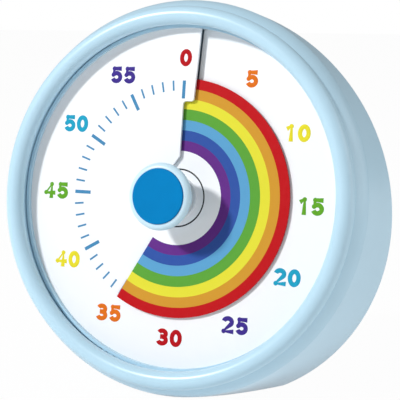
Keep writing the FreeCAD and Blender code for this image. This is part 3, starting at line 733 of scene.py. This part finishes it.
@dataclass
class Case:
    """Front ring over the dial and the wedge-shaped housing behind it; sizes in millimetres."""

    strip_inner: float = 37.0
    strip_outer: float = 37.9
    strip_under: float = 1.15
    strip_height: float = 1.6
    bead_centre: Point = (39.3, 3.5)
    bead_round: float = 2.0
    crease_height: float = 3.2
    parting_radius: float = 43.1
    parting_height: float = -0.2
    skirt_bulge: float = 0.25
    spigot_radius: float = 40.8
    bore_radius: float = 38.7
    rim_bottom: float = -2.6
    lug_radius: float = 2.4
    lug_circle: float = 38.1
    lug_length: float = 3.1
    lug_angles: tuple[float, ...] = (28.0, 152.0, 205.0, 335.0)
    lug_facets: int = 24
    ring_steps: int = 288
    bead_steps: int = 40
    skirt_steps: int = 10
    seam_ease: float = 0.1
    lip_bottom: float = -0.6
    lip_wall: float = 0.1
    groove_width: float = 0.28
    groove_depth: float = 0.8

    def ring_profile(self) -> list[Point]:
        """Draw the section of the front ring: strip, bead, skirt and spigot.

        Returns:
            Radius and height of each corner, in order.
        """
        inner = 180 + math.degrees(
            math.acos((self.bead_centre[0] - self.strip_outer) / self.bead_round))
        crease = math.degrees(math.asin((self.crease_height - self.bead_centre[1]) / self.bead_round))
        lip = self.strip_inner - self.lip_wall
        groove = self.strip_outer - self.groove_width
        profile = [
            (self.bore_radius, self.strip_under),
            (self.strip_inner, self.strip_under),
            (self.strip_inner, self.lip_bottom),
            (lip, self.lip_bottom),
            (lip, self.strip_height),
            (groove, self.strip_height),
            (groove, self.strip_height - self.groove_depth),
            (self.strip_outer, self.strip_height - self.groove_depth)]
        bead = arc(self.bead_centre, self.bead_round, inner, crease, self.bead_steps)
        profile += bead
        profile += self.skirt(bead[-1])
        profile += [
            (self.spigot_radius, self.parting_height),
            (self.spigot_radius, self.rim_bottom),
            (self.bore_radius, self.rim_bottom)]
        return profile

    def skirt(self, crease: Point) -> list[Point]:
        """Gently bulged skirt from the crease to the parting line.

        Args:
            crease: where it starts.

        Returns:
            The points after the crease, in order.
        """
        run = self.parting_radius - crease[0]
        drop = crease[1] - self.parting_height
        length = math.hypot(run, drop)
        points = []
        for step in range(1, self.skirt_steps + 1):
            share = step / self.skirt_steps
            swell = 4 * share * (1 - share) * self.skirt_bulge / length
            points.append((crease[0] + run * share + drop * swell, crease[1] - drop * share + run * swell))
        return points

    def build(self) -> None:
        """Make the ring and dress the housing."""
        shell = SHELL.material()
        ring = spun(self.ring_profile(), self.ring_steps)
        for angle in self.lug_angles:
            turn = math.radians(angle)
            centre = Vector((
                self.lug_circle * math.cos(turn), self.lug_circle * math.sin(turn),
                self.rim_bottom - self.lug_length / 2))
            bmesh.ops.create_cone(
                ring, cap_ends=True, segments=self.lug_facets, radius1=self.lug_radius,
                radius2=self.lug_radius, depth=self.lug_length, matrix=Matrix.Translation(centre))
        place_piece(
            "bezel_ring", ring, shell, "case", ["front_bezel"], Edge(self.seam_ease))
        dress(["back_housing", "battery_door"], shell)


class Digit(Enum):
    """Figures on the dial."""

    ZERO = "0"
    ONE = "1"
    TWO = "2"
    THREE = "3"
    FOUR = "4"
    FIVE = "5"

    @staticmethod
    def bend(centre: Point, half_width: float, half_height: float, start: float, end: float) -> list[Point]:
        """Part of an oval, in steps of about ten degrees."""
        return oval(centre, half_width, half_height, start, end, round(abs(end - start) / 10))

    @property
    def closed(self) -> bool:
        """Whether the figure's stroke runs back to its start."""
        return self is Digit.ZERO

    def strokes(self) -> list[list[Point]]:
        """Draw the figure.

        Returns:
            Centre lines of its strokes in millimetres, about its own middle.
        """
        if self is Digit.ONE:
            return [[(-0.7, 0.74), (0.3, 1.36), (0.3, -1.875)]]
        if self is Digit.TWO:
            return [
                self.bend((0.0, 0.62), 0.92, 0.755, 168, -36) + [(-0.86, -1.375), (1.42, -1.375)]]
        if self is Digit.THREE:
            return [
                self.bend((-0.03, 0.725), 0.83, 0.65, 158, -90),
                [(-0.52, 0.08), (0.0, 0.08)],
                self.bend((-0.05, -0.645), 0.95, 0.73, 90, -162)]
        if self is Digit.FOUR:
            return [[(0.42, -1.875), (0.42, 1.28), (-0.98, -0.62), (1.42, -0.62)]]
        if self is Digit.FIVE:
            return [
                [(1.22, 1.375), (-0.6, 1.375), (-0.78, 0.02)]
                + self.bend((0.0, -0.5), 0.95, 0.875, 132, -158)]
        return [self.bend((0.0, 0.0), 0.95, 1.375, 0, 350)]


@dataclass
class Dial:
    """White spiral dial with its printed figures and minute marks; sizes in millimetres."""

    pitch: float = 1.6
    thickness: float = 0.6
    figure_circle: float = 30.4
    figure_advance: float = 3.25
    stroke: float = 1.02
    stroke_facets: int = 16
    sharp_turn: float = 20.0
    ink: float = 0.05
    major_middle: float = 23.5
    major_length: float = 3.9
    major_width: float = 0.75
    minor_middle: float = 24.4
    minor_length: float = 2.2
    minor_width: float = 0.4
    minutes: int = 60
    figure_step: int = 5
    tick_colour: Colour = (72, 138, 182)
    figure_colours: tuple[tuple[str, Colour], ...] = (
        ("red", (180, 22, 30)), ("orange", (222, 112, 30)), ("yellow", (228, 216, 50)),
        ("green", (98, 164, 44)), ("cyan", (36, 158, 192)), ("indigo", (66, 50, 138)))

    def surface(self, x: float, y: float, middle: float) -> float:
        """Height of the dial's face.

        Args:
            x: distance to the right of the centre.
            y: distance above the centre.
            middle: clockwise angle of the mark that the point belongs to, in degrees.

        Returns:
            The height over the dial's mean plane.
        """
        turn = math.degrees(math.atan2(x, y))
        near = middle + (turn - middle + 180) % 360 - 180
        return self.pitch * (near / 360 - 0.5) + self.thickness / 2

    def laid(self, mesh: bmesh.types.BMesh, middle: float) -> bmesh.types.BMesh:
        """Lay a print drawn about height nought on the spiral face."""
        for vert in mesh.verts:
            vert.co.z += self.surface(vert.co.x, vert.co.y, middle)
        return mesh

    def tube(self, points: Sequence[Point], closed: bool) -> bpy.types.Mesh:
        """Stroke of a figure as a round tube.

        Args:
            points: its centre line.
            closed: whether it runs back to its start.

        Returns:
            The tube, capped where it is open.
        """
        curve = bpy.data.curves.new("stroke", "CURVE")
        curve.dimensions = "3D"
        curve.bevel_depth = self.stroke / 2
        curve.bevel_resolution = self.stroke_facets // 4
        curve.use_fill_caps = True
        spline = curve.splines.new("POLY")
        spline.points.add(len(points) - 1)
        for target, (x, y) in zip(spline.points, points):
            target.co = (x, y, 0.0, 1.0)
        spline.use_cyclic_u = closed
        holder = bpy.data.objects.new("stroke", curve)
        mesh = bpy.data.meshes.new_from_object(holder)
        bpy.data.objects.remove(holder)
        bpy.data.curves.remove(curve)
        return mesh

    def corners(self, points: Sequence[Point]) -> list[Point]:
        """Find where a stroke turns sharply.

        Args:
            points: its centre line.

        Returns:
            The points at which it does.
        """
        found = []
        for before, here, after in zip(points, points[1:], points[2:]):
            turned = (Vector(here) - Vector(before)).angle(Vector(after) - Vector(here), 0.0)
            if turned > math.radians(self.sharp_turn):
                found.append(here)
        return found

    def digit(self, figure: bmesh.types.BMesh, digit: Digit, shift: float) -> None:
        """Add one digit to a figure.

        Args:
            figure: the figure's mesh.
            digit: the digit.
            shift: how far it stands to the right of the figure's middle.
        """
        for stroke in digit.strokes():
            stroke = [(x + shift, y) for x, y in stroke]
            tube = self.tube(stroke, digit.closed)
            figure.from_mesh(tube)
            bpy.data.meshes.remove(tube)
            for x, y in ([] if digit.closed else self.corners(stroke)):
                bmesh.ops.create_uvsphere(
                    figure, u_segments=self.stroke_facets, v_segments=self.stroke_facets // 2,
                    radius=self.stroke / 2, matrix=Matrix.Translation((x, y, 0.0)))

    def figure(self, text: str, middle: float) -> bmesh.types.BMesh:
        """Mesh of a one- or two-digit figure, laid on the dial.

        Args:
            text: the digits.
            middle: clockwise angle of the figure from the zero mark, in degrees.

        Returns:
            The mesh, on the dial's axes.
        """
        mesh = bmesh.new()
        for index, letter in enumerate(text):
            self.digit(mesh, Digit(letter), (index - (len(text) - 1) / 2) * self.figure_advance)
        turn = math.radians(middle)
        centre = Vector((math.sin(turn), math.cos(turn), 0.0)) * self.figure_circle
        bmesh.ops.scale(mesh, vec=(1.0, 1.0, self.ink / self.stroke * 2), verts=mesh.verts)
        bmesh.ops.translate(mesh, vec=centre, verts=mesh.verts)
        bmesh.ops.remove_doubles(mesh, verts=mesh.verts, dist=1e-4)
        bmesh.ops.recalc_face_normals(mesh, faces=mesh.faces)
        return self.laid(mesh, middle)

    def tick(self, mesh: bmesh.types.BMesh, minute: int) -> None:
        """Add one minute mark, laid on the dial.

        Args:
            mesh: mesh of all the marks.
            minute: its number; the zero mark lies at the end of the spiral.
        """
        major = minute % self.figure_step == 0
        middle = self.major_middle if major else self.minor_middle
        length = self.major_length if major else self.minor_length
        width = self.major_width if major else self.minor_width
        angle = 360.0 if minute == 0 else minute * 360 / self.minutes
        height = self.pitch * (angle / 360 - 0.5) + self.thickness / 2
        turn = Matrix.Rotation(-math.radians(angle), 4, "Z")
        place = turn @ Matrix.Translation((0.0, middle, height))
        size = Matrix.Diagonal((width, length, self.ink, 1.0))
        bmesh.ops.create_cube(mesh, size=1.0, matrix=place @ size)

    def build(self) -> None:
        """Dress the dial and print its marks and figures."""
        dress(["dial_plate"], DIAL_WHITE.material())
        marks = bmesh.new()
        for minute in range(self.minutes):
            self.tick(marks, minute)
        place_piece(
            "minute_marks", marks, Ink("mark_ink", self.tick_colour).material(), "case")
        inks = [Ink("ink_" + name, colour).material() for name, colour in self.figure_colours]
        for index in range(self.minutes // self.figure_step):
            text = str(index * self.figure_step)
            middle = 360.0 if index == 0 else index * self.figure_step * 360 / self.minutes
            place_piece(
                "figure_" + text, self.figure(text, middle), inks[index % len(inks)],
                "case")


@dataclass
class SettingKnob:
    """Mushroom knob with its blue cap; sizes in millimetres."""

    neck_radius: float = 4.3
    neck_bottom: float = 2.2
    rim_radius: float = 7.2
    rim_round: float = 1.2
    top: float = 10.3
    cap_radius: float = 5.95
    cap_thickness: float = 1.3
    cap_rise: float = 0.35
    cap_gap: float = 0.03
    steps: int = 160
    rim_steps: int = 20

    def body_profile(self) -> list[Point]:
        """Draw the section of the knob: cone, round rim and the cap's recess.

        Returns:
            Radius and height of each corner, in order.
        """
        rim = (self.rim_radius - self.rim_round, self.top - self.rim_round)
        run = rim[0] - self.neck_radius
        rise = rim[1] - self.neck_bottom
        lean = math.degrees(math.asin(self.rim_round / math.hypot(run, rise)))
        start = math.degrees(math.atan2(rise, run)) - lean - 90
        recess = self.top - self.cap_thickness
        profile = [(0.0, self.neck_bottom), (self.neck_radius, self.neck_bottom)]
        profile += arc(rim, self.rim_round, start, 90, self.rim_steps)
        profile += [(self.cap_radius, self.top), (self.cap_radius, recess), (0.0, recess)]
        return profile

    def cap_profile(self) -> list[Point]:
        """Draw the section of the cap.

        Returns:
            Radius and height of each corner, in order.
        """
        bottom = self.top - self.cap_thickness
        top = self.top + self.cap_rise
        radius = self.cap_radius - self.cap_gap
        return [(0.0, bottom), (radius, bottom), (radius, top), (0.0, top)]

    def build(self) -> None:
        """Make the knob and its cap."""
        body = spun(self.body_profile(), self.steps)
        place_piece(
            "knob_shell", body, KNOB_SHELL.material(), "setting_knob", ["knob_body"],
            Edge(0.04, 2))
        cap = spun(self.cap_profile(), self.steps)
        place_piece(
            "knob_insert", cap, CAP.material(), "setting_knob", ["knob_cap"], Edge(0.2, 3))
        dress(["main_shaft"], ACETAL.material())


@dataclass
class Dressed:
    """CAD nodes that keep their shape and get finishes."""

    finishes: tuple[tuple[Finish, tuple[str, ...]], ...]

    def build(self) -> None:
        """Dress the nodes."""
        for finish, nodes in self.finishes:
            dress(nodes, finish.material())


@dataclass
class TimeDisc(Dressed):
    """Coloured disc and the collar that carries it."""

    finishes: tuple[tuple[Finish, tuple[str, ...]], ...] = (
        (DISC_PRINT, ("rainbow_disc",)),
        (HUB_WHITE, ("disc_hub",)))


@dataclass
class Movement(Dressed):
    """Clockwork inside the housing."""

    finishes: tuple[tuple[Finish, tuple[str, ...]], ...] = (
        (MOVEMENT_GREY, ("movement_base", "movement_cover")),
        (ACETAL, ("centre_wheel", "third_wheel")),
        (BRASS, ("shaft_bush",)),
        (SPRING, ("clutch_washer", "stator")),
        (MAGNET, ("rotor",)),
        (COPPER, ("motor_coil",)))


@dataclass
class Electrics(Dressed):
    """Cell, contacts, board, sounder and switch."""

    finishes: tuple[tuple[Finish, tuple[str, ...]], ...] = (
        (CELL, ("battery_cell",)),
        (NICKEL, ("contact_plus", "contact_minus", "switch_body")),
        (BOARD, ("circuit_board",)),
        (BLACK, ("buzzer", "volume_slider")))


@dataclass
class Fasteners(Dressed):
    """Screws of the case, the movement and the board."""

    finishes: tuple[tuple[Finish, tuple[str, ...]], ...] = (
        (ZINC, ("case_screws", "board_screws", "movement_screws")),)


@dataclass
class Studio:
    """Pale floor, soft light and the camera; sizes in metres, lamps in watts."""

    camera_forward: Vector = Vector((-0.42043, 0.89673, -0.13828))
    camera_distance: float = 0.31586
    camera_right: float = 0.004583
    camera_up: float = -0.000454
    lens: float = 130.9
    sensor: float = 36.0
    floor_size: float = 6.0
    floor_colour: Colour = (250, 250, 250)
    floor_mottle: float = 60.0
    glow_share: float = 0.97
    sky: float = 0.3
    key_place: Vector = Vector((-0.5, -0.68, 0.55))
    key_size: float = 0.1
    key_power: float = 7.7
    fill_place: Vector = Vector((0.95, 0.2, 0.3))
    fill_size: float = 0.8
    fill_power: float = 3.4

    def camera(self) -> None:
        """Stand the camera where the photograph was taken."""
        forward = self.camera_forward.normalized()
        right = forward.cross(Vector((0.0, 0.0, 1.0))).normalized()
        up = right.cross(forward)
        data = bpy.data.cameras.new("camera")
        data.lens = self.lens
        data.sensor_width = self.sensor
        data.clip_start = 0.01
        holder = bpy.data.objects.new("camera", data)
        bpy.context.scene.collection.objects.link(holder)
        place = AXES.centre - forward * self.camera_distance
        place += right * self.camera_right + up * self.camera_up
        turn = Matrix((right, up, -forward)).transposed().to_4x4()
        holder.matrix_world = Matrix.Translation(place) @ turn
        bpy.context.scene.camera = holder

    def floor(self) -> None:
        """Lay a pale floor that shows near white to the camera and keeps the shadow."""
        mesh = bmesh.new()
        bmesh.ops.create_grid(mesh, x_segments=1, y_segments=1, size=self.floor_size / 2)
        data = bpy.data.meshes.new("floor")
        mesh.to_mesh(data)
        mesh.free()
        graph = Graph("floor_pale")
        graph.surface(
            base=graph.shades(graph.noise(self.floor_mottle), self.floor_colour, 1.0, 0.99),
            roughness=0.9, specular=0.0)
        self.glow(graph)
        data.materials.append(graph.material)
        floor = bpy.data.objects.new("floor", data)
        bpy.context.scene.collection.objects.link(floor)

    def glow(self, graph: Graph) -> None:
        """Mix white light into what camera, mirror and glass rays see of a surface.

        Args:
            graph: the surface's node tree.
        """
        path = graph.node("ShaderNodeLightPath", {}, {})
        seen = Value(graph, path.outputs["Is Camera Ray"])
        seen = seen + Value(graph, path.outputs["Is Glossy Ray"])
        seen = seen + Value(graph, path.outputs["Is Transmission Ray"])
        light = graph.node("ShaderNodeEmission", {}, {"Color": (1.0, 1.0, 1.0, 1.0), "Strength": 1.0})
        mixed = graph.node(
            "ShaderNodeMixShader", {},
            {0: seen * self.glow_share, 1: graph.shader.outputs[0], 2: light.outputs[0]})
        graph.feed(graph.output.inputs["Surface"], mixed.outputs[0])

    def world(self) -> None:
        """Even light from all round, white where the camera looks straight at it."""
        world = bpy.data.worlds.new("studio")
        bpy.context.scene.world = world
        world.use_nodes = True
        tree = world.node_tree
        path = tree.nodes.new("ShaderNodeLightPath")
        amount = tree.nodes.new("ShaderNodeMix")
        amount.inputs[2].default_value = self.sky
        amount.inputs[3].default_value = 1.0
        tree.links.new(path.outputs["Is Camera Ray"], amount.inputs[0])
        background = tree.nodes["Background"]
        background.inputs["Color"].default_value = (1.0, 1.0, 1.0, 1.0)
        tree.links.new(amount.outputs[0], background.inputs["Strength"])

    def lamp(self, name: str, place: Vector, size: float, power: float) -> None:
        """Hang a square lamp that faces the dial's centre.

        Args:
            name: the lamp's name.
            place: its place from the dial's centre.
            size: its width.
            power: its power.
        """
        data = bpy.data.lights.new(name, "AREA")
        data.size = size
        data.energy = power
        holder = bpy.data.objects.new(name, data)
        bpy.context.scene.collection.objects.link(holder)
        holder.matrix_world = Matrix.Translation(AXES.centre + place) @ (
            (-place).to_track_quat("-Z", "Y").to_matrix().to_4x4())

    def build(self) -> None:
        """Set up the floor, the light, the camera and the view."""
        self.floor()
        self.world()
        self.lamp("key", self.key_place, self.key_size, self.key_power)
        self.lamp("fill", self.fill_place, self.fill_size, self.fill_power)
        self.camera()
        bpy.context.scene.view_settings.view_transform = "Standard"


def main() -> None:
    """Build every sub-assembly, then the studio."""
    logging.basicConfig(level=logging.INFO, format="%(message)s")
    for part in (Case(), Dial(), TimeDisc(), SettingKnob(), Movement(), Electrics(), Fasteners(), Studio()):
        LOG.info("building %s", type(part).__name__)
        part.build()


if __name__ == "__main__":
    main()
